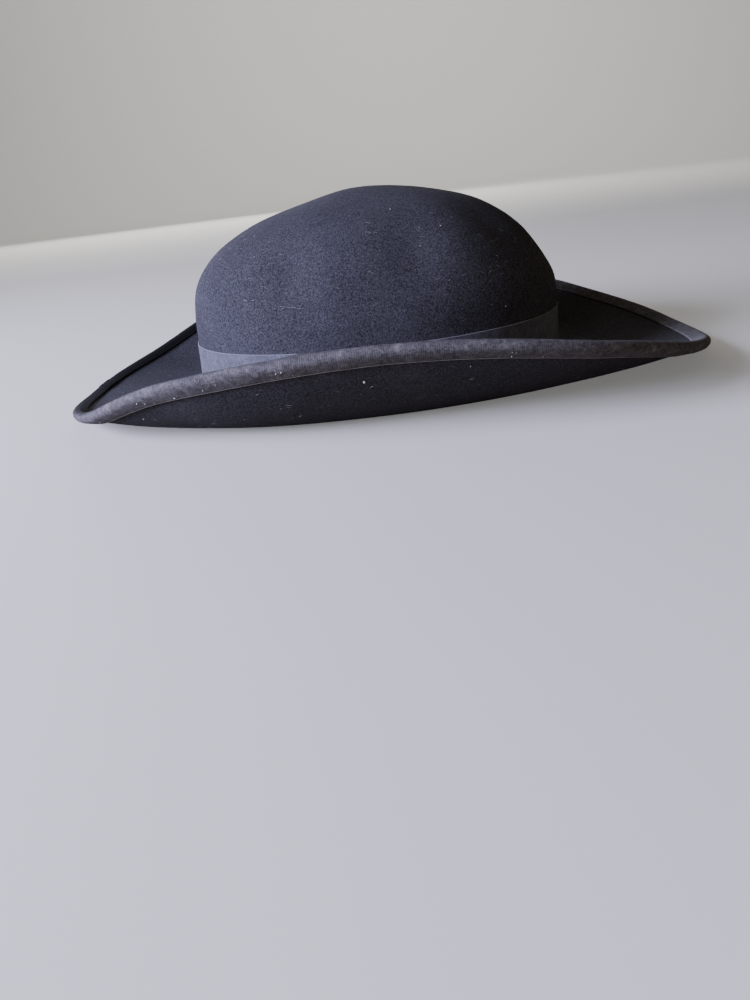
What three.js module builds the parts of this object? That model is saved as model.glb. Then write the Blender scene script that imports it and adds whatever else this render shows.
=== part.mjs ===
// A priest's hat of black fur felt. Crown and brim are one hollow shell, blocked from a single hood:
// a smooth round dome, and a wide brim that lies flat at the head opening and climbs at both sides.
// A grosgrain ribbon goes round the foot of the crown, and a grosgrain binding is folded over the edge.
// Millimetres. +X is the front of the hat, +Y the wearer's left, +Z up; the hat rests on the plane z = 0.

import * as THREE from "three";

// Materials and clearances
const FELT = 2;
const TAPE = 1;
const CLEARANCE = 0.3;

// The crown: the height of each section over the brim's upper face, and its reach to front and back.
// The first row is the foot of the crown, which is the head opening, and the last is the crest.
const CROWN_SECTIONS = [
  { height: 0, front: 107.5, back: 107 },
  { height: 15, front: 106, back: 105.5 },
  { height: 31, front: 105.5, back: 104.5 },
  { height: 47, front: 104.5, back: 103.5 },
  { height: 62, front: 96.5, back: 100 },
  { height: 76, front: 85.5, back: 89 },
  { height: 89, front: 67.5, back: 66.5 },
  { height: 98, front: 43, back: 36 },
  { height: 104, front: 0, back: 0 },
];
const CROWN_RING_SPACING = 10;

// The foot's reach to each side, and how square the ovals are: 2 would be an ellipse
const FOOT = { ...CROWN_SECTIONS[0], side: 82.5 };
const OVAL_POWER = 2.12;

// Soft dents in the crown: the direction they face, their height, how far they spread and how deep they go
const DENTS = [
  { around: -122, height: 73, spread: 15, depth: 1.2 },
  { around: -72, height: 75, spread: 15, depth: 1.2 },
  { around: -30, height: 80, spread: 14, depth: 1 },
];

// The brim, by the direction it faces, 0 at the front and 180 at the back, alike on both sides: its width,
// how much of that lies flat, its slope at the edge in degrees, and how late it climbs to that slope
const BRIM_SECTIONS = [
  { around: 0, width: 80, flat: 8, slope: 6.5, ease: 0.9 },
  { around: 30, width: 78, flat: 7, slope: 20.5, ease: 0.8 },
  { around: 60, width: 81, flat: 5, slope: 37, ease: 0.5 },
  { around: 90, width: 77, flat: 5, slope: 54, ease: 0.4 },
  { around: 120, width: 77.5, flat: 11, slope: 56, ease: 0.75 },
  { around: 150, width: 72, flat: 19, slope: 23, ease: 0.9 },
  { around: 180, width: 74, flat: 15, slope: 3, ease: 0.5 },
];
const SECTION_STEP = 30;
const BRIM_RINGS = 6;
const BREAK_RADIUS = 2;
const BREAK_RINGS = 2;

// The ribbon and the binding
const RIBBON_WIDTH = 29;
const RIBBON_RINGS = 3;
const BINDING_WIDTH = 8;
const CORNER_POINTS = 3;

// Facets round the hat, the steps when a slope is summed up along the brim, and how far along the crown's
// curve its lean is read
const SEGMENTS = 60;
const SLOPE_STEPS = 48;
const LEAN_STEP = 0.05;

const COLOURS = { felt: 0x24242a, tape: 0x55555f };

const radians = THREE.MathUtils.degToRad;
const directions = Array.from({ length: SEGMENTS }, (_, i) => (i / SEGMENTS) * 2 * Math.PI);

// One column of the brim table in any direction, smoothly between the rows
function brimValue(column, direction) {
  const degrees = THREE.MathUtils.radToDeg(Math.acos(Math.cos(direction)));
  const last = BRIM_SECTIONS.length - 1;
  const row = Math.min(Math.floor(degrees / SECTION_STEP), last - 1);
  const share = degrees / SECTION_STEP - row;
  const value = (index) => BRIM_SECTIONS[last - Math.abs(last - Math.abs(index))][column];
  const [a, b, c, d] = [value(row - 1), value(row), value(row + 1), value(row + 2)];
  return 0.5 * (2 * b + (c - a) * share
    + (2 * a - 5 * b + 4 * c - d) * share ** 2
    + (3 * b - a - 3 * c + d) * share ** 3);
}

// The point of an oval where its outward normal faces a direction
function ovalPoint({ front, back, side }, direction) {
  const reach = Math.cos(direction) > 0 ? front : back;
  const along = Math.abs(Math.cos(direction) * reach);
  const across = Math.abs(Math.sin(direction) * side);
  const power = OVAL_POWER / (OVAL_POWER - 1);
  const scale = (along ** power + across ** power) ** (1 / OVAL_POWER);
  const x = reach * Math.sign(Math.cos(direction)) * along ** (power - 1) / scale;
  const y = side * Math.sign(Math.sin(direction)) * across ** (power - 1) / scale;
  return new THREE.Vector2(x || 0, y || 0);
}

// The crown's sections joined by one curve of front reach, back reach and height, carried past the top
// as its own mirror image so that the crest is smooth
const crownCurve = (() => {
  const rows = CROWN_SECTIONS.map((row) => new THREE.Vector3(row.front, row.back, row.height));
  const beyond = rows.at(-2).clone().multiply(new THREE.Vector3(-1, -1, 1));
  return new THREE.CatmullRomCurve3([...rows, beyond], false, "centripetal");
})();

function crownPoint(step, direction) {
  const section = crownCurve.getPoint(step / CROWN_SECTIONS.length);
  const side = (FOOT.side * (section.x + section.y)) / (FOOT.front + FOOT.back);
  const point = ovalPoint({ front: section.x, back: section.y, side }, direction);
  return new THREE.Vector3(point.x, point.y, FELT + section.z);
}

// How far the dents push a point of the crown in
function dentDepth(point) {
  let depth = 0;
  for (const dent of DENTS) {
    const facing = radians(dent.around);
    const bearing = Math.atan2(point.y, point.x);
    const swing = Math.abs(Math.atan2(Math.sin(bearing - facing), Math.cos(bearing - facing)));
    const away = Math.hypot(swing * Math.hypot(point.x, point.y), point.z - dent.height);
    depth += dent.depth * Math.exp(-((away / dent.spread) ** 2));
  }
  return depth;
}

// A place on the felt's outer face, with the way it faces: a lean of 0 faces outward, a quarter turn up
function place(point, outward, lean) {
  const normal = new THREE.Vector3(outward.x * Math.cos(lean), outward.y * Math.cos(lean), Math.sin(lean));
  return { point, normal };
}

const outwardAt = (direction) => new THREE.Vector3(Math.cos(direction), Math.sin(direction), 0);

// The crown wall at a step of its curve: it leans by the slope of the curve there
function crownPlace(step, direction) {
  const outward = outwardAt(direction);
  const below = crownPoint(Math.max(step - LEAN_STEP, 0), direction);
  const run = crownPoint(step + LEAN_STEP, direction).sub(below);
  const lean = Math.atan2(-run.dot(outward), run.z);
  const wall = place(crownPoint(step, direction), outward, Math.max(lean, 0));
  wall.point.addScaledVector(wall.normal, -dentDepth(wall.point));
  return wall;
}

// The brim at a distance from the crown: flat first, then a slope that grows to the one at the edge
function brimPlace(distance, direction) {
  const outward = outwardAt(direction);
  const width = brimValue("width", direction);
  const flat = brimValue("flat", direction);
  const edgeSlope = radians(brimValue("slope", direction));
  const ease = brimValue("ease", direction);
  const slopeAt = (along) => edgeSlope * Math.max((along - flat) / (width - flat), 0) ** ease;
  let run = 0;
  let rise = 0;
  const step = distance / SLOPE_STEPS;
  for (let i = 0; i < SLOPE_STEPS; i += 1) {
    const slope = slopeAt((i + 0.5) * step);
    run += Math.cos(slope) * step;
    rise += Math.sin(slope) * step;
  }
  const foot = ovalPoint(FOOT, direction);
  const point = new THREE.Vector3(foot.x, foot.y, FELT + rise).addScaledVector(outward, run);
  return place(point, outward, Math.PI / 2 + slopeAt(distance));
}

// The small round where the crown wall turns into the brim
function breakPlace(share, direction) {
  const outward = outwardAt(direction);
  const lean = (share * Math.PI) / 2;
  const foot = ovalPoint(FOOT, direction);
  const centre = new THREE.Vector3(foot.x, foot.y, FELT + BREAK_RADIUS);
  const turned = place(centre.addScaledVector(outward, BREAK_RADIUS), outward, lean);
  turned.point.addScaledVector(turned.normal, -BREAK_RADIUS);
  return turned;
}

// A closed body from rings of points, one point for each direction. Where the first ring is a single point
// the body ends in points; otherwise the last ring joins the first. Each facet pair is split along its
// shorter diagonal, so that the facing sides of two pieces are split alike and keep their clearance.
function bodyFrom(rings) {
  const points = rings.flat();
  const starts = rings.map((_, i) => rings.slice(0, i).flat().length);
  const span = (from, to) => points[from].distanceTo(points[to]);
  const faces = [];
  const bands = rings[0].length === 1 ? rings.length - 1 : rings.length;
  for (let band = 0; band < bands; band += 1) {
    const next = (band + 1) % rings.length;
    for (let i = 0; i < SEGMENTS; i += 1) {
      const j = (i + 1) % SEGMENTS;
      const [a, b] = [starts[band] + i, starts[band] + j];
      const [c, d] = [starts[next] + i, starts[next] + j];
      if (rings[band].length === 1) faces.push(starts[band], c, d);
      else if (rings[next].length === 1) faces.push(a, starts[next], b);
      else if (span(a, d) < span(b, c)) faces.push(a, c, d, a, d, b);
      else faces.push(a, c, b, c, d, b);
    }
  }
  const geometry = new THREE.BufferGeometry().setFromPoints(points);
  geometry.setIndex(faces);
  geometry.computeVertexNormals();
  return geometry;
}

// A ring of points that stand off the felt's outer face by a height
const ringOff = (placeAt, height) => directions.map((direction) => {
  const { point, normal } = placeAt(direction);
  return point.clone().addScaledVector(normal, height);
});

// The step of the crown's curve at a height over the brim
const crownStepAt = (height) => {
  const row = CROWN_SECTIONS.findLastIndex((section) => section.height <= height);
  const [below, above] = [CROWN_SECTIONS[row], CROWN_SECTIONS[row + 1]];
  return row + (height - below.height) / (above.height - below.height);
};

// The crown's rings, from the round at the foot up to the last below the crest, about evenly spaced
function crownSteps() {
  const steps = [crownStepAt(BREAK_RADIUS)];
  CROWN_SECTIONS.slice(0, -1).forEach((section, row) => {
    const above = CROWN_SECTIONS[row + 1];
    const length = Math.hypot(above.height - section.height, above.front - section.front);
    const rings = Math.round(length / CROWN_RING_SPACING);
    for (let i = row === 0 ? 1 : 0; i < rings; i += 1) steps.push(row + i / rings);
  });
  return steps;
}

// The felt: down the outside from the crest to the edge of the brim, and back up the inside
function feltBody() {
  const wall = crownSteps().reverse().map((step) => (direction) => crownPlace(step, direction));
  for (let i = 1; i <= BREAK_RINGS; i += 1) wall.push((direction) => breakPlace(i / BREAK_RINGS, direction));
  for (let i = 0; i <= BRIM_RINGS; i += 1) {
    wall.push((direction) => {
      const flat = brimValue("flat", direction);
      const bound = brimValue("width", direction) - BINDING_WIDTH;
      return brimPlace(flat + ((bound - flat) * i) / BRIM_RINGS, direction);
    });
  }
  wall.push((direction) => brimPlace(brimValue("width", direction), direction));
  const crest = crownPoint(CROWN_SECTIONS.length - 1, 0);
  const outside = wall.map((placeAt) => ringOff(placeAt, 0));
  const inside = wall.map((placeAt) => ringOff(placeAt, -FELT)).reverse();
  return bodyFrom([[crest], ...outside, ...inside, [crest.clone().setZ(crest.z - FELT)]]);
}

// The ribbon: a plain band that stands off the crown wall by the clearance
function crownRibbon() {
  const face = (off) => Array.from({ length: RIBBON_RINGS + 1 }, (_, i) => {
    const step = crownStepAt(BREAK_RADIUS + CLEARANCE + (RIBBON_WIDTH * i) / RIBBON_RINGS);
    return ringOff((direction) => crownPlace(step, direction), off);
  });
  return bodyFrom([...face(CLEARANCE + TAPE).reverse(), ...face(CLEARANCE)]);
}

// The binding: a tape folded round the cut edge, with one arm on the upper face and one on the lower. Its
// rings run along the upper arm, round both corners of the edge and back along the lower arm.
function brimBinding() {
  const edge = (direction) => brimPlace(brimValue("width", direction), direction);
  const armEnd = (direction) => brimPlace(brimValue("width", direction) - BINDING_WIDTH, direction);
  const roundCorner = (off, isUpper) => Array.from({ length: CORNER_POINTS }, (_, i) => {
    const share = i / (CORNER_POINTS - 1);
    const turn = (Math.PI / 2) * (isUpper ? 1 - share : -share);
    return directions.map((direction) => {
      const { point, normal } = edge(direction);
      const onward = outwardAt(direction).multiplyScalar(normal.z).setZ(Math.hypot(normal.x, normal.y));
      return point.clone()
        .addScaledVector(normal, off * Math.sin(turn) - (isUpper ? 0 : FELT))
        .addScaledVector(onward, off * Math.cos(turn));
    });
  });
  const face = (off) => [
    ringOff(armEnd, off),
    ...roundCorner(off, true),
    ...roundCorner(off, false),
    ringOff(armEnd, -FELT - off),
  ];
  return bodyFrom([...face(CLEARANCE + TAPE), ...face(CLEARANCE).reverse()]);
}

function piece(name, geometry, color, roughness) {
  const mesh = new THREE.Mesh(geometry, new THREE.MeshStandardMaterial({ color, roughness, metalness: 0 }));
  mesh.name = name;
  return mesh;
}

const hat = new THREE.Group();
hat.add(
  piece("felt_body", feltBody(), COLOURS.felt, 0.95),
  piece("crown_ribbon", crownRibbon(), COLOURS.tape, 0.6),
  piece("brim_binding", brimBinding(), COLOURS.tape, 0.65),
);

// The origin is on the resting plane, under the middle of the whole hat
const bounds = new THREE.Box3().setFromObject(hat);
hat.position.x = -(bounds.min.x + bounds.max.x) / 2;

export default hat;
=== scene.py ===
"""A priest's hat of black fur felt, with a grosgrain ribbon and a bound brim, at rest on a pale floor.

Metres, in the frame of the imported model: +X is the front of the hat, +Y the wearer's left, +Z up.
The hat's own sizes are in millimetres, and the studio's in metres. A fitting program settled the reaches
of the crown's sections, the brim's table and the camera, and they are rounded.
"""

import math
import random

import bmesh
import bpy
import numpy as np
from mathutils import Matrix, Vector, noise


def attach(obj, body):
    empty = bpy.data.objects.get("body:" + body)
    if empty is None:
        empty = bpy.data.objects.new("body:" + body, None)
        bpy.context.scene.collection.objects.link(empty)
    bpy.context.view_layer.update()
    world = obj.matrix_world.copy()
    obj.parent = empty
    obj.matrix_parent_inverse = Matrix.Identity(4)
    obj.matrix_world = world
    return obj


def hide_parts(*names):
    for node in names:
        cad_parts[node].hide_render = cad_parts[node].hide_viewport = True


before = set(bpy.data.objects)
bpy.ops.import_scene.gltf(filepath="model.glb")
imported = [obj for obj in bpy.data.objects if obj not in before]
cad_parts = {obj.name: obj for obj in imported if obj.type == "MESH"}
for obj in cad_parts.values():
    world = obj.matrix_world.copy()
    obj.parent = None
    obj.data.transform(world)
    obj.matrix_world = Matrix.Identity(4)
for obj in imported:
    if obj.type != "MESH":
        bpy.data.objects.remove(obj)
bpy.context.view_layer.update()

# ---------------------------------------------------------------------------------------------------------
# The felt body. One hood of black fur felt, 2 mm thick, steamed over a block: a smooth round crown that runs
# straight into a wide brim, flat at the head opening and climbing at both sides. Its short soft nap has gone
# grey with handling.
# ---------------------------------------------------------------------------------------------------------

MM = 0.001
FELT = 2.0
# The small round where the crown turns into the brim
BREAK_RADIUS = 2.0

# The crown's sections, from its foot up to its crest. Heights are over the brim's upper face; the reaches are
# a fitting program's, to half a millimetre
CROWN_SECTIONS = [
    # height, reach to the front, reach to the back
    (0, 107.5, 107),
    (15, 106, 105.5),
    (31, 105.5, 104.5),
    (47, 104.5, 103.5),
    (62, 96.5, 100),
    (76, 85.5, 89),
    (89, 67.5, 66.5),
    (98, 43, 36),
    (104, 0, 0),
]
_, FOOT_FRONT, FOOT_BACK = CROWN_SECTIONS[0]
FOOT_SIDE = 82.5
# How square the ovals are: 2 would be an ellipse
OVAL_POWER = 2.12

# The brim by the direction it faces, from 0 at the front to 180 at the back: its width, how much of it lies
# flat, its slope at the edge in degrees, and how late it climbs to that slope. All are a fitting program's
# values, rounded
BRIM_SECTIONS = [
    # direction, width, flat, slope, lateness
    (0, 80, 8, 6.5, 0.9),
    (30, 78, 7, 20.5, 0.8),
    (60, 81, 5, 37, 0.5),
    (90, 77, 5, 54, 0.4),
    (120, 77.5, 11, 56, 0.75),
    (150, 72, 19, 23, 0.9),
    (180, 74, 15, 3, 0.5),
]

# Soft dents left by handling in the crown
DENTS = [
    # direction, height, spread, depth
    (-122, 73, 15, 2.4),
    (-72, 75, 15, 2.4),
    (-30, 80, 14, 2.0),
]

# Unevenness of the blocked felt: the size of its features and how far they stand, on the crown above the
# ribbon and at the brim's edge. Each surface reads its own stretch of the noise, shifted this far
CROWN_UNEVENNESS = [(30, 0.3), (9, 0.1)]
EVEN_HEIGHT = CROWN_SECTIONS[2][0]
BRIM_UNEVENNESS = [(75, 0.5), (26, 0.25), (9, 0.08)]
NOISE_SHIFT = Vector((17.3, 5.9, 11.1))

# The crown's lean is read over this share of a section, and the brim's climb is summed up in so many steps
LEAN_STEP = 0.05
CLIMB_STEPS = 60

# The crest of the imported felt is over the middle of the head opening, where the tables are measured from
crest = max((vertex.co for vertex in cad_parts["felt_body"].data.vertices), key=lambda co: co.z)


def smooth_between(before, start, end, after, share):
    """A value at a share of the way from start to end, on a smooth curve that heeds their neighbours."""
    return 0.5 * (2 * start + (end - before) * share
                  + (2 * before - 5 * start + 4 * end - after) * share**2
                  + (3 * start - before - 3 * end + after) * share**3)


def brim_columns(direction):
    """Width, flat, edge slope and lateness of the brim in each direction, smoothly between the rows."""
    rows = np.array(BRIM_SECTIONS, float)
    last = len(rows) - 1
    turn = np.degrees(np.arccos(np.cos(direction))) * last / 180
    row = np.minimum(turn.astype(int), last - 1)
    corners = [rows[last - abs(last - abs(row + k))] for k in (-1, 0, 1, 2)]
    _, width, flat, slope, lateness = smooth_between(*corners, (turn - row)[:, None]).T
    return width, flat, np.radians(slope), lateness


def oval(front, back, side, direction):
    """Points of an oval where its outward normal faces each direction."""
    cosine, sine = np.cos(direction), np.sin(direction)
    reach = np.where(cosine > 0, front, back)
    along, across = abs(cosine * reach), abs(sine * side)
    power = OVAL_POWER / (OVAL_POWER - 1)
    scale = np.maximum(along**power + across**power, 1e-12) ** (1 / OVAL_POWER)
    x = reach * np.sign(cosine) * along ** (power - 1) / scale
    y = side * np.sign(sine) * across ** (power - 1) / scale
    return x, y


def crown_section(step):
    """Front reach, back reach and height at a step of the crown's curve: a centripetal spline through its
    rows, carried past the crest as its own mirror image so that the crest is smooth."""
    rows = [np.array((front, back, height), float) for height, front, back in CROWN_SECTIONS]
    rows.append(rows[-2] * (-1, -1, 1))
    rows.insert(0, 2 * rows[0] - rows[1])
    rows.append(2 * rows[-1] - rows[-2])
    i = min(int(step), len(rows) - 4)
    share = step - i
    before, start, end, after = rows[i:i + 4]
    spans = ((before, start), (start, end), (end, after))
    first, mid, last = (np.linalg.norm(far - near) ** 0.5 for near, far in spans)
    leave = ((start - before) / first - (end - before) / (first + mid) + (end - start) / mid) * mid
    arrive = ((end - start) / mid - (after - start) / (mid + last) + (after - end) / last) * mid
    return (start + leave * share
            + (3 * (end - start) - 2 * leave - arrive) * share**2
            + (2 * (start - end) + leave + arrive) * share**3)


def crown_points(step, direction):
    """Points of the crown's smooth outer face, in each direction."""
    front, back, height = crown_section(step)
    x, y = oval(front, back, FOOT_SIDE * (front + back) / (FOOT_FRONT + FOOT_BACK), direction)
    return np.stack([x, y, np.full_like(x, FELT + height)], 1)


def crown_step_at(height):
    """The step of the crown's curve at a height."""
    heights = [row[0] for row in CROWN_SECTIONS]
    return float(np.interp(height, heights, range(len(heights))))


def facing(direction, lean):
    """Unit normals that face a direction and lean up by an angle."""
    lean = np.broadcast_to(lean, direction.shape)
    return np.stack([np.cos(direction) * np.cos(lean), np.sin(direction) * np.cos(lean), np.sin(lean)], 1)


def unevenness(points, layers, seed):
    """A soft push in or out at each point, in layers of a feature size and a height."""
    shift = NOISE_SHIFT * seed
    return np.array([
        sum(height * noise.noise(Vector(point) / size + shift) for size, height in layers) for point in points
    ])


def crown_place(step, direction):
    """Points and normals of the felt's outer face on the crown."""
    points = crown_points(step, direction)
    run = crown_points(step + LEAN_STEP, direction) - crown_points(max(step - LEAN_STEP, 0), direction)
    inward = -(run * facing(direction, 0.0)).sum(1)
    normals = facing(direction, np.maximum(np.arctan2(inward, run[:, 2]), 0))
    climbed = np.clip((points[:, 2] - FELT) / EVEN_HEIGHT, 0, 1)
    push = climbed * unevenness(points, CROWN_UNEVENNESS, 1)
    bearing = np.arctan2(points[:, 1], points[:, 0])
    for around, height, spread, depth in DENTS:
        swing = np.arccos(np.cos(bearing - math.radians(around)))
        away = np.hypot(swing * np.hypot(points[:, 0], points[:, 1]), points[:, 2] - height)
        push -= depth * np.exp(-((away / spread) ** 2))
    return points + normals * push[:, None], normals


def brim_place(distance, direction):
    """Points and normals of the felt's upper face on the brim, at a distance out from the crown."""
    width, flat, edge_slope, lateness = brim_columns(direction)

    def slope_at(along):
        return edge_slope * np.maximum((along - flat) / (width - flat), 0) ** lateness

    slopes = [slope_at((i + 0.5) / CLIMB_STEPS * distance) for i in range(CLIMB_STEPS)]
    run = sum(np.cos(slope) for slope in slopes) * distance / CLIMB_STEPS
    rise = sum(np.sin(slope) for slope in slopes) * distance / CLIMB_STEPS
    x, y = oval(FOOT_FRONT, FOOT_BACK, FOOT_SIDE, direction)
    points = np.stack([x, y, FELT + rise], 1) + facing(direction, 0.0) * run[:, None]
    normals = facing(direction, math.pi / 2 + slope_at(distance))
    climbed = np.clip((distance - flat) / (width - flat), 0, 1)
    push = climbed * unevenness(points, BRIM_UNEVENNESS, 3)
    return points + normals * push[:, None], normals


def break_place(share, direction):
    """Points and normals of the small round between the crown, at share 0, and the brim, at share 1."""
    x, y = oval(FOOT_FRONT, FOOT_BACK, FOOT_SIDE, direction)
    normals = facing(direction, share * math.pi / 2)
    centre = np.stack([x, y, np.full_like(x, FELT + BREAK_RADIUS)], 1) + facing(direction, 0.0) * BREAK_RADIUS
    return centre - normals * BREAK_RADIUS, normals


def skin(name, rings, **shares):
    """A closed mesh from rings of points in millimetres from the middle of the head opening. Rings have one
    point for each direction, and a first and last ring of one point close the mesh there; without them the
    last ring joins the first. shares are numbers for each ring, or for each point, kept for the finish."""
    starts = np.cumsum([0] + [len(ring) for ring in rings])
    faces = []
    bands = len(rings) - 1 if len(rings[0]) == 1 else len(rings)
    for band in range(bands):
        here, there = band, (band + 1) % len(rings)
        count = max(len(rings[here]), len(rings[there]))
        i = np.arange(count)
        j = (i + 1) % count
        near, far = starts[here], starts[there]
        if len(rings[here]) == 1:
            faces += np.stack([np.full(count, near), far + i, far + j], 1).tolist()
        elif len(rings[there]) == 1:
            faces += np.stack([near + i, np.full(count, far), near + j], 1).tolist()
        else:
            faces += np.stack([near + i, far + i, far + j, near + j], 1).tolist()
    points = (np.concatenate(rings) + (crest.x / MM, 0, 0)) * MM
    mesh = bpy.data.meshes.new(name)
    mesh.from_pydata(points.tolist(), [], faces)
    for share, values in shares.items():
        spread = [np.broadcast_to(value, len(ring)) for value, ring in zip(values, rings)]
        kept = mesh.attributes.new(share, "FLOAT", "POINT")
        kept.data.foreach_set("value", np.concatenate(spread).astype(np.float32))
    mesh.shade_smooth()
    made = bpy.data.objects.new(name, mesh)
    bpy.context.scene.collection.objects.link(made)
    return made


# Points round the felt, the spacing of its rings up the crown, and its rings round the break and the brim
FELT_AROUND = 360
FELT_SPACING = 2.6
BREAK_RINGS = 4
BRIM_RINGS = 34

directions = np.arange(FELT_AROUND) * 2 * math.pi / FELT_AROUND
felt_width = brim_columns(directions)[0]


def crown_steps(spacing):
    """Steps of the crown's rings from its foot up to the last below the crest."""
    steps = [crown_step_at(BREAK_RADIUS)]
    for row, (low, high) in enumerate(zip(CROWN_SECTIONS, CROWN_SECTIONS[1:])):
        count = round(math.dist(low[:2], high[:2]) / spacing)
        steps += [row + i / count for i in range(1 if row == 0 else 0, count)]
    return steps


felt_wall = [crown_place(step, directions) for step in reversed(crown_steps(FELT_SPACING))]
felt_wall += [break_place(i / BREAK_RINGS, directions) for i in range(1, BREAK_RINGS + 1)]
above_brim = len(felt_wall)
felt_wall += [brim_place(felt_width * (i / BRIM_RINGS), directions) for i in range(1, BRIM_RINGS + 1)]
crest_point, _ = crown_place(len(CROWN_SECTIONS) - 1, directions[:1])
felt_outside = [points for points, _ in felt_wall]
felt_inside = [points - FELT * normals for points, normals in reversed(felt_wall)]
felt_body = skin(
    "felt_body",
    [crest_point, *felt_outside, *felt_inside, crest_point - (0, 0, FELT)],
    brim_top=[0] + [0] * above_brim + [1] * BRIM_RINGS + [0] * len(felt_wall) + [0],
)


class Wire:
    """A socket of a finish. Operators on it add Math nodes, node() adds any other node beside it, and feed()
    links it to another socket."""

    def __init__(self, tree, socket=None):
        self.tree, self.socket = tree, socket

    def node(self, kind, settings=None, inputs=None, output=0):
        made = self.tree.nodes.new("ShaderNode" + kind)
        for name, value in (settings or {}).items():
            setattr(made, name, value)
        for name, value in (inputs or {}).items():
            if isinstance(value, Wire):
                self.tree.links.new(value.socket, made.inputs[name])
            else:
                made.inputs[name].default_value = value
        return Wire(self.tree, made.outputs[output])

    def math(self, operation, *values):
        return self.node("Math", {"operation": operation}, dict(enumerate(values)))

    def feed(self, socket):
        self.tree.links.new(self.socket, socket)

    def __add__(self, other):
        return self.math("ADD", self, other)

    def __sub__(self, other):
        return self.math("SUBTRACT", self, other)

    def __rsub__(self, other):
        return self.math("SUBTRACT", other, self)

    def __mul__(self, other):
        return self.math("MULTIPLY", self, other)

    __radd__, __rmul__ = __add__, __mul__

    def noise(self, size, **settings):
        """Noise over features of a size in millimetres, at the place this wire gives."""
        named = {name.capitalize(): value for name, value in settings.items()}
        return self.node("TexNoise", None, {"Vector": self, "Scale": 1 / (size * MM), **named})

    def rise(self, low, high):
        """0 below the low value, 1 above the high one, and smooth between."""
        return self.node("MapRange", {"interpolation_type": "SMOOTHSTEP"}, {0: self, 1: low, 2: high})

    def colour(self, low, high):
        """The low colour where this wire is 0, and the high one where it is 1."""
        return self.node("Mix", {"data_type": "RGBA"}, {0: self, 6: low, 7: high}, output=2)


def finish(name, **constants):
    """A new material, the place on the object to make patterns from, and the shader's sockets."""
    material = bpy.data.materials.new(name)
    material.use_nodes = True
    tree = material.node_tree
    sockets = tree.nodes["Principled BSDF"].inputs
    for socket, value in constants.items():
        sockets[socket.replace("_", " ")].default_value = value
    place = Wire(tree).node("TexCoord", output="Object")
    return material, place, sockets


FELT_DEEP = (0.0105, 0.0103, 0.0118, 1)
FELT_NAP = (0.072, 0.07, 0.082, 1)
FELT_DUST = (0.13, 0.13, 0.14, 1)
# Sizes of the nap's clumps and fibres, of the patches in its greying, and of the dusty spots and the places
# where they gather
CLUMP_SIZE = 0.8
FIBRE_SIZE = 1.7
CLOUD_SIZE = 28
SPOT_SIZE = 6
GATHERING_SIZE = 60
NAP_HEIGHT = 0.5

felt, place, shader = finish("felt", Roughness=0.95, Sheen_Weight=0.01, Sheen_Roughness=0.6)
shader["Specular IOR Level"].default_value = 0.08
clumps = place.noise(CLUMP_SIZE, detail=3.0, roughness=0.75)
fibres = place.noise(FIBRE_SIZE, detail=4.0, roughness=0.75, distortion=2.0)
cloudy = place.noise(CLOUD_SIZE, detail=3.0)
nap = clumps.rise(0.36, 0.64) * 0.65 + fibres.rise(0.36, 0.66) * 0.3 + (cloudy - 0.5) * 0.35
spots = place.noise(SPOT_SIZE, detail=2.0).rise(0.6, 0.8)
dusty = spots * place.noise(GATHERING_SIZE, detail=1.0).rise(0.45, 0.75)
brim_top = place.node("Attribute", {"attribute_name": "brim_top"}, output="Fac")
greyed = nap.colour(FELT_DEEP, FELT_NAP)
(dusty * 0.2 + brim_top * 0.05).colour(greyed, FELT_DUST).feed(shader["Base Color"])
rough_nap = {"Height": clumps * 0.6 + fibres * 0.6, "Distance": NAP_HEIGHT * MM, "Strength": 0.9}
place.node("Bump", None, rough_nap).feed(shader["Normal"])
felt_body.data.materials.append(felt)
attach(felt_body, "root")
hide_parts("felt_body")

# ---------------------------------------------------------------------------------------------------------
# The ribbon. A plain band of grosgrain, black faded to grey, sewn down round the foot of the crown. Its weft
# ribs stand upright and a narrow smooth selvage runs along both edges.
# ---------------------------------------------------------------------------------------------------------

RIBBON_WIDTH = 29.0
RIBBON_THICK = 0.42
# Its lower edge over the brim, its gap from the felt, and the direction of its join
RIBBON_FOOT = 2.3
RIBBON_CLEAR = 0.15
RIBBON_JOIN = 93.0
# Where its upper edge stands off the crown: the size of such places, and how far
RIBBON_LOOSE = (45, 0.15)
RIB_PITCH = 0.95
RIB_HEIGHT = 0.06
RIBBON_COLUMNS_A_RIB = 4
# The smooth selvage, the bead along it and where that starts, and the rounding of the tape's very edge: how
# far in it reaches, and the share of the thickness that is left there
RIBBON_SELVAGE = 0.4
SELVAGE_BEAD = 0.12
BEAD_START = 0.3
EDGE_ROUND = 0.35
EDGE_SHARE = 0.35
# One end of a tape is turned under and lapped over the other
LAP_LENGTH = 11.0
LAP_RAISED = 0.35
# A tape's way round is measured at this many places
MEASURED_PLACES = 2881


def rib_directions(edge_of, columns_a_rib):
    """Directions of columns that stand evenly along a ring of tape, so many for each rib."""
    fine = np.linspace(0, 2 * math.pi, MEASURED_PLACES)
    points = edge_of(fine)
    travel = np.concatenate([[0], np.cumsum(np.linalg.norm(np.diff(points, axis=0), axis=1))])
    columns = round(travel[-1] / RIB_PITCH) * columns_a_rib
    return np.interp(np.arange(columns) * travel[-1] / columns, travel, fine)


def rib_share(columns, columns_a_rib):
    """How high a column stands on its rib, from 0 in the groove to 1 on the ridge."""
    return 0.5 - 0.5 * np.cos(2 * math.pi * np.arange(columns) / columns_a_rib)


def lap_share(directions, join, columns_a_rib):
    """1 where one end of the tape is turned under and lies over the other, 0 elsewhere."""
    pitch = RIB_PITCH / columns_a_rib
    start = int(np.searchsorted(directions, math.radians(join)))
    away = abs(np.arange(len(directions)) - start) * pitch - LAP_LENGTH / 2
    return np.clip(0.5 - away / pitch / 2, 0, 1)


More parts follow.
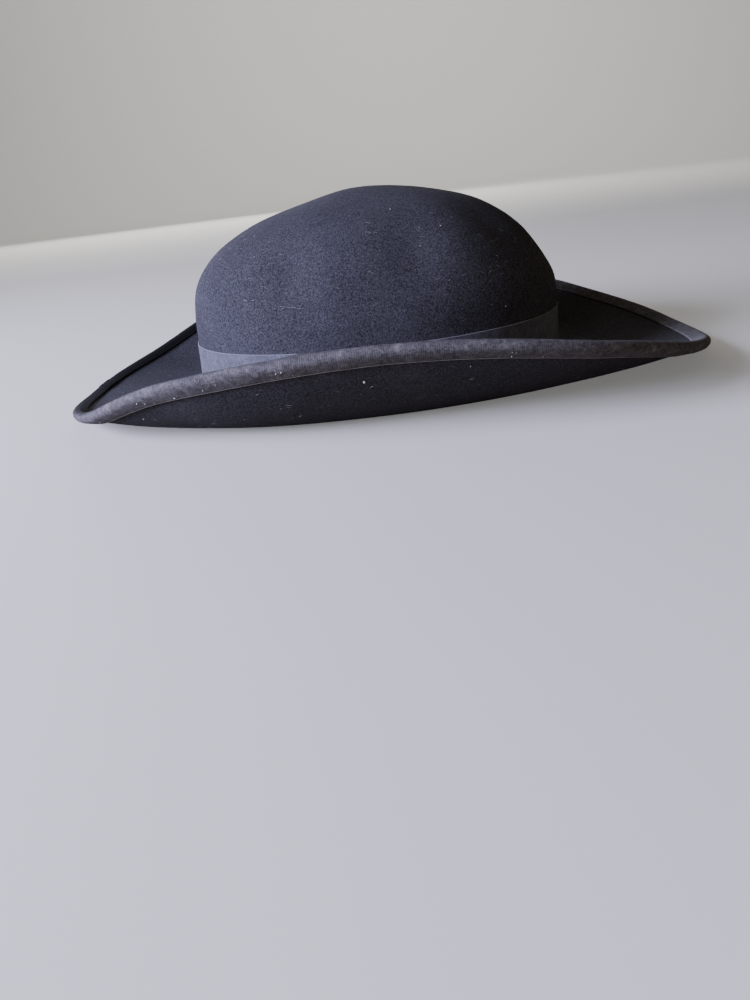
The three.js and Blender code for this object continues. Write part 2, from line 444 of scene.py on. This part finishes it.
def tape_stand(from_edge, selvage, thick):
    """How far a tape's outer face stands over its inner one near its edge, with the bead of the selvage."""
    rounded = thick * (EDGE_SHARE + (1 - EDGE_SHARE) * math.sqrt(min(from_edge / EDGE_ROUND, 1)))
    return rounded + (SELVAGE_BEAD if BEAD_START <= from_edge <= selvage else 0)


ribbon_directions = rib_directions(lambda turn: crown_points(1.0, turn), RIBBON_COLUMNS_A_RIB)
ribbon_ribs = rib_share(len(ribbon_directions), RIBBON_COLUMNS_A_RIB)
ribbon_lap = lap_share(ribbon_directions, RIBBON_JOIN, RIBBON_COLUMNS_A_RIB) * LAP_RAISED
# Distance of each row up the ribbon
RIBBON_ROWS = [0, 0.12, 0.35, 0.5, 0.65, 4, 9, 14.5, 20, 25, 28.35, 28.5, 28.65, 28.88, 29]
ribbon_outside, ribbon_inside, ribbon_rib, ribbon_selvage = [], [], [], []
for up in RIBBON_ROWS:
    points, normals = crown_place(crown_step_at(RIBBON_FOOT + up), ribbon_directions)
    from_edge = min(up, RIBBON_WIDTH - up)
    on_ribs = from_edge > RIBBON_SELVAGE
    stand = RIBBON_CLEAR + tape_stand(from_edge, RIBBON_SELVAGE, RIBBON_THICK)
    loose = unevenness(points, [RIBBON_LOOSE], 7) * up / RIBBON_WIDTH
    off = stand + on_ribs * ribbon_ribs * RIB_HEIGHT + loose + ribbon_lap
    ribbon_outside.append(points + normals * off[:, None])
    ribbon_inside.append(points + normals * RIBBON_CLEAR)
    ribbon_rib.append(ribbon_ribs if on_ribs else 0.5)
    # Selvage rows carry the painted highlight
    ribbon_selvage.append(float(not on_ribs))
crown_ribbon = skin(
    "crown_ribbon",
    [*reversed(ribbon_outside), ribbon_inside[0], ribbon_inside[-1]],
    rib=[*reversed(ribbon_rib), 0, 0],
    selvage=[*reversed(ribbon_selvage), 0, 0],
    fading=[1] * (len(RIBBON_ROWS) + 2),
)

RIBBON_BLACK = (0.034, 0.034, 0.039, 1)
RIBBON_GREY = (0.141, 0.139, 0.168, 1)
RIBBON_WORN = (0.18, 0.178, 0.212, 1)
# The selvages' colour is a painted highlight, for the light caught along the ribbon's edges
RIBBON_EDGE_HIGHLIGHT = (0.125, 0.124, 0.136, 1)
RIBBON_WEAR = 0.25
# Sizes of the thread's own specks, of scuffs and of patches in the greying, and the height of the weave
SPECK_SIZE = 0.7
SCUFF_SIZE = 2.6
PATCH_SIZE = 14
WEAVE_HEIGHT = 0.3


def tape_finish(name, black, grey, worn, edge, wear):
    """Grosgrain: black at heart, greyed on its ribs, and paler where it is handled. Its selvages are painted
    paler still, a painted highlight along its edges. Where it is not greyed it is black and quite matt."""
    tape, place, shader = finish(name, Sheen_Weight=0.03, Sheen_Roughness=0.6)
    shader["Specular IOR Level"].default_value = 0.04
    rib, selvage, fading = (
        place.node("Attribute", {"attribute_name": kept}, output="Fac")
        for kept in ("rib", "selvage", "fading")
    )
    specks = place.noise(SPECK_SIZE, detail=3.0, roughness=0.75)
    scuffed = place.noise(SCUFF_SIZE, detail=4.0, roughness=0.7)
    patchy = place.noise(PATCH_SIZE, detail=3.0, roughness=0.6)
    threads = rib * 0.2 + specks.rise(0.3, 0.7) * 0.4 + scuffed.rise(0.3, 0.7) * 0.3
    greyed = (threads + (patchy - 0.5) * 0.4) * fading
    handled = scuffed.rise(0.5, 0.75) * patchy.rise(0.4, 0.65) * fading * wear
    # The selvages take the edge colour, a painted highlight
    selvage.colour(handled.colour(greyed.colour(black, grey), worn), edge).feed(shader["Base Color"])
    (1.0 - fading * 0.3).feed(shader["Roughness"])
    weave = {"Height": specks + scuffed * 0.5, "Distance": WEAVE_HEIGHT * MM, "Strength": 0.7}
    place.node("Bump", None, weave).feed(shader["Normal"])
    return tape


crown_ribbon.data.materials.append(
    tape_finish("ribbon_grosgrain", RIBBON_BLACK, RIBBON_GREY, RIBBON_WORN, RIBBON_EDGE_HIGHLIGHT, RIBBON_WEAR)
)
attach(crown_ribbon, "root")
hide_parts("crown_ribbon")

# ---------------------------------------------------------------------------------------------------------
# The binding. A narrower grosgrain tape folded over the cut edge of the brim and sewn down on both faces. It
# makes a soft roll round the edge, with a selvage on each face, and is the most worn part of the hat.
# ---------------------------------------------------------------------------------------------------------

# Its width on the brim's lower face, and the size it was cut to
BINDING_WIDTH = 8.0
BINDING_THICK = 0.7
BINDING_CLEAR = 0.3
BINDING_JOIN = 170.6
BINDING_SELVAGE = 0.9
BINDING_COLUMNS_A_RIB = 2
# The upper arm is narrower than the lower one at the back and most at the sides, and a little wider at the
# very front
UPPER_NARROWER = 0.4
UPPER_DRIFT = 1.2
UPPER_PINCH = 2.2
# Round the edge the tape is a soft roll: its radius, and how far its middle lies in from the felt's edge
ROLL_RADIUS = 2.9
ROLL_INSET = 1.4
FOLD_TURNS = 8
FOLD_CLEAR = 0.55
# A small pucker of the tape on the right side: its direction, half its spread, and how far it stands up
PUCKER_AT = -98.5
PUCKER_SPREAD = 1.7
PUCKER_HIGH = 1.0
# How strongly the upper arm's selvage takes the painted highlight, beside the lower one's
SELVAGE_HIGHLIGHT_SHOWN = 0.12
# How quickly the upper arm greys towards the front, and the fold blackens towards the back and to the left
UPPER_GREYS = 0.9
FOLD_BLACKENS = 1.5
FOLD_BLACKENS_LEFT = 5
# Distance of each row of an arm back from the edge of the brim, from its selvage inwards
ARM_ROWS = [8.0, 7.88, 7.6, 7.1, 6.95, 6.2, 5.0, 3.8, 2.6]


def edge_frame(direction):
    """The middle of the felt's thickness at the brim's edge, its normal, and the way on past the edge."""
    points, normals = brim_place(brim_columns(direction)[0], direction)
    level = np.hypot(normals[:, 0], normals[:, 1])
    onward = facing(direction, 0.0) * normals[:, 2:] + np.stack([0 * level, 0 * level, level], 1)
    return points - normals * FELT / 2, normals, onward


binding_directions = rib_directions(lambda turn: edge_frame(turn)[0], BINDING_COLUMNS_A_RIB)
binding_ribs = rib_share(len(binding_directions), BINDING_COLUMNS_A_RIB)
binding_lap = lap_share(binding_directions, BINDING_JOIN, BINDING_COLUMNS_A_RIB) * LAP_RAISED
brim_width = brim_columns(binding_directions)[0]
edge_points, edge_normals, edge_onward = edge_frame(binding_directions)
binding_outside, binding_inside, binding_rib, binding_selvage, binding_fading = [], [], [], [], []
upper_narrower = (UPPER_NARROWER - UPPER_DRIFT * np.cos(binding_directions)
                  + UPPER_PINCH * np.sin(binding_directions) ** 2)
# The upper arm is black at the back of the hat and greys towards the front, and at the back on the left
# side the fold is black over its upper part too
upper_fading = np.clip(0.5 + UPPER_GREYS * np.cos(binding_directions), 0, 1)
fold_black = (np.clip(-FOLD_BLACKENS * np.cos(binding_directions), 0, 1)
              * np.clip(FOLD_BLACKENS_LEFT * np.sin(binding_directions), 0, 1))
pucker = PUCKER_HIGH * np.exp(-((np.degrees(binding_directions) - PUCKER_AT % 360) / PUCKER_SPREAD) ** 2)


def binding_stand(back):
    """How far the binding's outer face stands over the felt, at a distance back from the brim's edge."""
    rolled = (ROLL_RADIUS - FELT / 2 - BINDING_CLEAR - BINDING_THICK) * math.cos(
        math.pi / 2 * (back - ROLL_INSET) / (BINDING_WIDTH - ROLL_INSET))
    return BINDING_CLEAR + tape_stand(BINDING_WIDTH - back, BINDING_SELVAGE, BINDING_THICK) + rolled


def binding_arm(back, side):
    """A row of the binding on the upper face of the brim, or with side -1 on the lower one."""
    narrower = upper_narrower if side > 0 else 0
    points, normals = brim_place(brim_width - back * (1 - narrower / BINDING_WIDTH), binding_directions)
    base = points - normals * FELT * (side < 0)
    on_ribs = BINDING_WIDTH - back > BINDING_SELVAGE
    off = binding_stand(back) + on_ribs * binding_ribs * RIB_HEIGHT + binding_lap
    if side > 0:
        off = off + pucker * (1 - back / BINDING_WIDTH)
    binding_outside.append(base + side * normals * off[:, None])
    binding_inside.append(base + side * normals * BINDING_CLEAR)
    binding_rib.append(binding_ribs if on_ribs else 0.5)
    # Selvage rows carry the painted highlight, only faintly on the upper arm
    binding_selvage.append((not on_ribs) * (SELVAGE_HIGHLIGHT_SHOWN if side > 0 else 1.0))
    binding_fading.append(upper_fading if side > 0 else 1.0)


def binding_fold(turn):
    """A row of the binding as it rolls round the edge, from a quarter turn up to a quarter turn down."""
    off = ROLL_RADIUS + binding_ribs * RIB_HEIGHT + binding_lap + pucker * max(math.sin(turn), 0)
    binding_outside.append(edge_points + edge_normals * off[:, None] * math.sin(turn)
                           + edge_onward * (off[:, None] * math.cos(turn) - ROLL_INSET))
    binding_inside.append(edge_points + edge_normals * (FELT / 2 + BINDING_CLEAR) * math.sin(turn)
                          + edge_onward * FOLD_CLEAR * math.cos(turn))
    binding_rib.append(binding_ribs)
    binding_selvage.append(0.0)
    onto_lower = 0.5 - 0.5 * math.sin(turn)
    folded = upper_fading + (1 - upper_fading) * min(2 * onto_lower, 1)
    binding_fading.append(folded * (1 - fold_black * (1 - onto_lower)))


for back in ARM_ROWS:
    binding_arm(back, 1)
for i in range(FOLD_TURNS + 1):
    binding_fold(math.pi / 2 - math.pi * i / FOLD_TURNS)
for back in reversed(ARM_ROWS):
    binding_arm(back, -1)
# The face against the felt is plain, so it keeps only the ends of each arm and every second row of the fold
arm, last = len(ARM_ROWS), len(binding_inside) - 1
inner_rows = [0, arm - 1, *range(arm, arm + FOLD_TURNS + 1, 2), last - arm + 1, last]
plain = [0] * len(inner_rows)
brim_binding = skin(
    "brim_binding",
    [*binding_outside, *(binding_inside[i] for i in reversed(inner_rows))],
    rib=binding_rib + plain,
    selvage=binding_selvage + plain,
    fading=binding_fading + plain,
)

BINDING_BLACK = (0.007, 0.0065, 0.0065, 1)
BINDING_GREY = (0.165, 0.155, 0.163, 1)
BINDING_WORN = (0.27, 0.256, 0.258, 1)
# The selvages' colour is a painted highlight, for the light caught along the binding's edges
BINDING_EDGE_HIGHLIGHT = (0.4, 0.39, 0.4, 1)
BINDING_WEAR = 0.4

brim_binding.data.materials.append(
    tape_finish("binding_grosgrain", BINDING_BLACK, BINDING_GREY, BINDING_WORN, BINDING_EDGE_HIGHLIGHT, BINDING_WEAR)
)
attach(brim_binding, "root")
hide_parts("brim_binding")

# ---------------------------------------------------------------------------------------------------------
# Lint and dust. Short pale threads lie in the nap all over the hat, one long hair has caught on the right of
# the crown towards the back, and grains of dust sit on the crown, under the brim and on the binding.
# ---------------------------------------------------------------------------------------------------------

THREADS = 1100
THREAD_STATIONS = 5
THREAD_SIDES = 3
THREAD_LENGTHS = (0.8, 3.2)
THREAD_THICKNESSES = (0.03, 0.09)
THREAD_TIP = 0.4
# How much threads stray from level, how much they curl, and how far they lie off the felt
THREAD_SLANT = 0.45
THREAD_CURL = 0.06
THREAD_LIFT = 0.12
# Where threads lie: the lowest, highest and likeliest height on the crown, and how far on the brim they keep
# from the crown and from the binding
CROWN_LINT = (RIBBON_WIDTH + 8, crest.z / MM - 5, 60)
BRIM_LINT_START = 10
BRIM_LINT_SPARED = 4
# The hair: from one direction and height on the crown to another, and its thickness
HAIR = ((-110.5, 56.5), (-103.5, 54.5), 0.1)
HAIR_STATIONS = 9
HAIR_DROOP = 1.5
# The grains on the crown and under the brim. A ray-casting program found their places, which are rounded
CROWN_GRAINS = [
    # direction, height, size
    (-82, 94, 0.9),
    (-76, 85, 0.6),
    (-69, 84, 0.7),
    (-78, 78, 0.6),
    (-74, 60, 0.6),
    (-60, 43, 0.7),
]
BRIM_GRAINS = [
    # direction, distance out, size
    (-130, 60, 0.8),
    (-92, 58, 1.3),
    (-80, 64, 0.7),
]
# Finer dust on the outer face of the binding: how many grains, and their sizes
BINDING_GRAINS = 90
BINDING_GRAIN_SIZES = (0.4, 0.9)

chance = random.Random(11)
lint_mesh = bmesh.new()


def on_crown(direction, height):
    """A point of the crown's outer face, and its normal."""
    points, normals = crown_place(crown_step_at(height - FELT), np.array([direction]))
    return Vector(points[0]), Vector(normals[0])


def on_brim(direction, distance, side=1):
    """A point of the brim's upper face, or with side -1 of its lower one, and its normal."""
    points, normals = brim_place(distance, np.array([direction]))
    return Vector(points[0] - normals[0] * FELT * (side < 0)), Vector(normals[0]) * side


def lay_thread(places, thick):
    """A thread through places on the felt, each a point and a normal, thinner at its tips."""
    rings = []
    for i, (point, normal) in enumerate(places):
        onward = places[min(i + 1, len(places) - 1)][0] - places[max(i - 1, 0)][0]
        across = onward.cross(normal).normalized()
        radius = thick / 2 * (THREAD_TIP if i in (0, len(places) - 1) else 1)
        centre = point + normal * (THREAD_LIFT + radius) + Vector((crest.x / MM, 0, 0))
        rings.append([
            lint_mesh.verts.new((centre + (across * math.cos(a) + normal * math.sin(a)) * radius) * MM)
            for a in (math.pi / 2 + k * 2 * math.pi / THREAD_SIDES for k in range(THREAD_SIDES))
        ])
    for near, far in zip(rings, rings[1:]):
        for k in range(THREAD_SIDES):
            lint_mesh.faces.new((near[k], near[k - 1], far[k - 1], far[k]))
    lint_mesh.faces.new(rings[0])
    lint_mesh.faces.new(reversed(rings[-1]))


def curl_thread(point, normal):
    """A thread at a place on the felt, mostly level, with a chance length, thickness and curl."""
    level = normal.cross(Vector((0, 0, 1))).normalized()
    along = level + normal.cross(level) * chance.gauss(0, THREAD_SLANT)
    along.normalize()
    across = normal.cross(along)
    length, curl = chance.uniform(*THREAD_LENGTHS), chance.gauss(0, THREAD_CURL)
    places = []
    for i in range(THREAD_STATIONS):
        share = i / (THREAD_STATIONS - 1) - 0.5
        bowed = across * curl * length * (1 - 4 * share * share)
        places.append((point + along * share * length + bowed, normal))
    lay_thread(places, chance.uniform(*THREAD_THICKNESSES))


def drop_grain(point, normal, size):
    """A grain of dust, a little sunk in the nap."""
    spot = (point + normal * (THREAD_LIFT + size / 4) + Vector((crest.x / MM, 0, 0))) * MM
    placed = Matrix.Translation(spot)
    bmesh.ops.create_icosphere(lint_mesh, subdivisions=1, radius=size / 2 * MM, matrix=placed)


# Of five threads, three lie on the crown, one on the brim's upper face, and one under the brim near its edge
for i in range(THREADS):
    direction = chance.uniform(-math.pi, math.pi)
    width = brim_columns(np.array([direction]))[0][0] - BINDING_WIDTH
    if i % 5 < 3:
        curl_thread(*on_crown(direction, chance.triangular(*CROWN_LINT)))
    elif i % 5 == 3:
        curl_thread(*on_brim(direction, chance.uniform(BRIM_LINT_START, width - BRIM_LINT_SPARED)))
    else:
        curl_thread(*on_brim(direction, chance.uniform(width / 2, width - BRIM_LINT_SPARED), -1))
(hair_start, hair_start_height), (hair_end, hair_end_height), hair_thick = HAIR
hair = []
for i in range(HAIR_STATIONS):
    share = i / (HAIR_STATIONS - 1)
    direction = math.radians(hair_start + (hair_end - hair_start) * share)
    height = hair_start_height + (hair_end_height - hair_start_height) * share**HAIR_DROOP
    hair.append(on_crown(direction, height))
lay_thread(hair, hair_thick)
for i in range(BINDING_GRAINS):
    direction, back = chance.uniform(-math.pi, math.pi), chance.uniform(ROLL_INSET, BINDING_WIDTH - 1)
    point, normal = on_brim(direction, brim_columns(np.array([direction]))[0][0] - back, -1)
    point += normal * (binding_stand(back) - THREAD_LIFT)
    drop_grain(point, normal, chance.uniform(*BINDING_GRAIN_SIZES))
for direction, height, size in CROWN_GRAINS:
    drop_grain(*on_crown(math.radians(direction), height), size)
for direction, distance, size in BRIM_GRAINS:
    drop_grain(*on_brim(math.radians(direction), distance, -1), size)

lint_data = bpy.data.meshes.new("lint")
lint_mesh.to_mesh(lint_data)
lint_mesh.free()
lint = bpy.data.objects.new("lint", lint_data)
bpy.context.scene.collection.objects.link(lint)

LINT_GREY = (0.16, 0.155, 0.15, 1)
LINT_WHITE = (0.42, 0.41, 0.39, 1)
LINT_PATCH_SIZE = 9

fluff, place, shader = finish("lint_fluff", Roughness=0.9)
whitened = place.noise(LINT_PATCH_SIZE, detail=1.0).rise(0.4, 0.65)
whitened.colour(LINT_GREY, LINT_WHITE).feed(shader["Base Color"])
lint_data.materials.append(fluff)
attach(lint, "root")

# ---------------------------------------------------------------------------------------------------------
# The studio: pale paper that curves up far behind, a cool window at the hat's back right, a weak warm fill
# at its front right, a broad light from the far side, one on the wall, and a camera just above the paper.
# Paper and air look pale, but throw less light back at the hat than that.
# ---------------------------------------------------------------------------------------------------------

FLOOR_HALF = 9.0
SWEEP_START = 3.0
SWEEP_RADIUS = 1.5
SWEEP_TURNS = np.linspace(0.05, math.pi / 2, 24)
WALL = SWEEP_START + SWEEP_RADIUS
WALL_TOP = 5.0

floor_mesh = bpy.data.meshes.new("floor")
sweep = [(-FLOOR_HALF, 0.0), (SWEEP_START, 0.0)]
sweep += [
    (SWEEP_START + SWEEP_RADIUS * math.sin(a), SWEEP_RADIUS - SWEEP_RADIUS * math.cos(a)) for a in SWEEP_TURNS
]
sweep += [(WALL, WALL_TOP)]
floor_mesh.from_pydata(
    [(x, y, z) for y, z in sweep for x in (-FLOOR_HALF, FLOOR_HALF)],
    [],
    [(2 * i, 2 * i + 1, 2 * i + 3, 2 * i + 2) for i in range(len(sweep) - 1)],
)
floor_mesh.shade_smooth()
floor = bpy.data.objects.new("floor", floor_mesh)
bpy.context.scene.collection.objects.link(floor)

PAPER = (0.56, 0.55, 0.51, 1)
PAPER_GLOW = (0.15, 0.15, 0.15, 1)
PAPER_BOUNCE = (0.245, 0.21, 0.155, 1)
DARK = (0, 0, 0, 1)

paper, place, shader = finish("studio_paper", Roughness=0.8, Emission_Strength=1.0)
seen = place.node("LightPath", output="Is Camera Ray")
seen.colour(PAPER_BOUNCE, PAPER).feed(shader["Base Color"])
seen.colour(DARK, PAPER_GLOW).feed(shader["Emission Color"])
floor_mesh.materials.append(paper)


def softbox(name, position, aim, size, power, tint):
    """A rectangular light that faces its aim, of a size in metres and a power in watts."""
    light = bpy.data.lights.new(name, "AREA")
    light.shape = "RECTANGLE"
    light.size, light.size_y = size
    light.energy = power
    light.color = tint
    made = bpy.data.objects.new(name, light)
    made.location = position
    made.rotation_euler = (Vector(aim) - Vector(position)).to_track_quat("-Z", "Y").to_euler()
    bpy.context.scene.collection.objects.link(made)


softbox("window_light", (-1.19, -0.53, 0.52), (0, 0, 0.52), (0.7, 0.6), 90, (0.665, 0.685, 1.0))
softbox("fill_light", (1.0, -1.3, 0.4), (0, 0, 0.05), (1.2, 0.8), 3.3, (1.0, 0.85, 0.62))
softbox("back_light", (-0.5, 2.8, 0.75), (0, 0, 0.08), (2.0, 0.9), 29, (0.93, 0.91, 0.94))
softbox("wall_light", (0.3, 1.6, 2.2), (0, WALL, 1.4), (3.0, 0.8), 90, (1.0, 0.98, 0.95))

AIR = (0.11, 0.101, 0.088, 1)
AIR_SEEN = (0.36, 0.355, 0.345, 1)
world = bpy.data.worlds.new("studio")
world.use_nodes = True
seen = Wire(world.node_tree).node("LightPath", output="Is Camera Ray")
seen.colour(AIR, AIR_SEEN).feed(world.node_tree.nodes["Background"].inputs["Color"])
bpy.context.scene.world = world

# A fitting program settled the camera's place, look and roll
CAMERA_PLACE = (-0.00565, -0.45224, 0.11295)
CAMERA_LOOK = Vector((-0.02141, 0.91653, -0.39939))
CAMERA_ROLL = -6.77
CAMERA_LENS = 27
CAMERA_SENSOR = 36

camera_data = bpy.data.cameras.new("camera")
camera_data.sensor_width = CAMERA_SENSOR
camera_data.lens = CAMERA_LENS
camera = bpy.data.objects.new("camera", camera_data)
camera.location = CAMERA_PLACE
camera.rotation_euler = CAMERA_LOOK.to_track_quat("-Z", "Y").to_euler()
camera.rotation_euler.rotate_axis("Z", math.radians(CAMERA_ROLL))
bpy.context.scene.collection.objects.link(camera)
bpy.context.scene.camera = camera
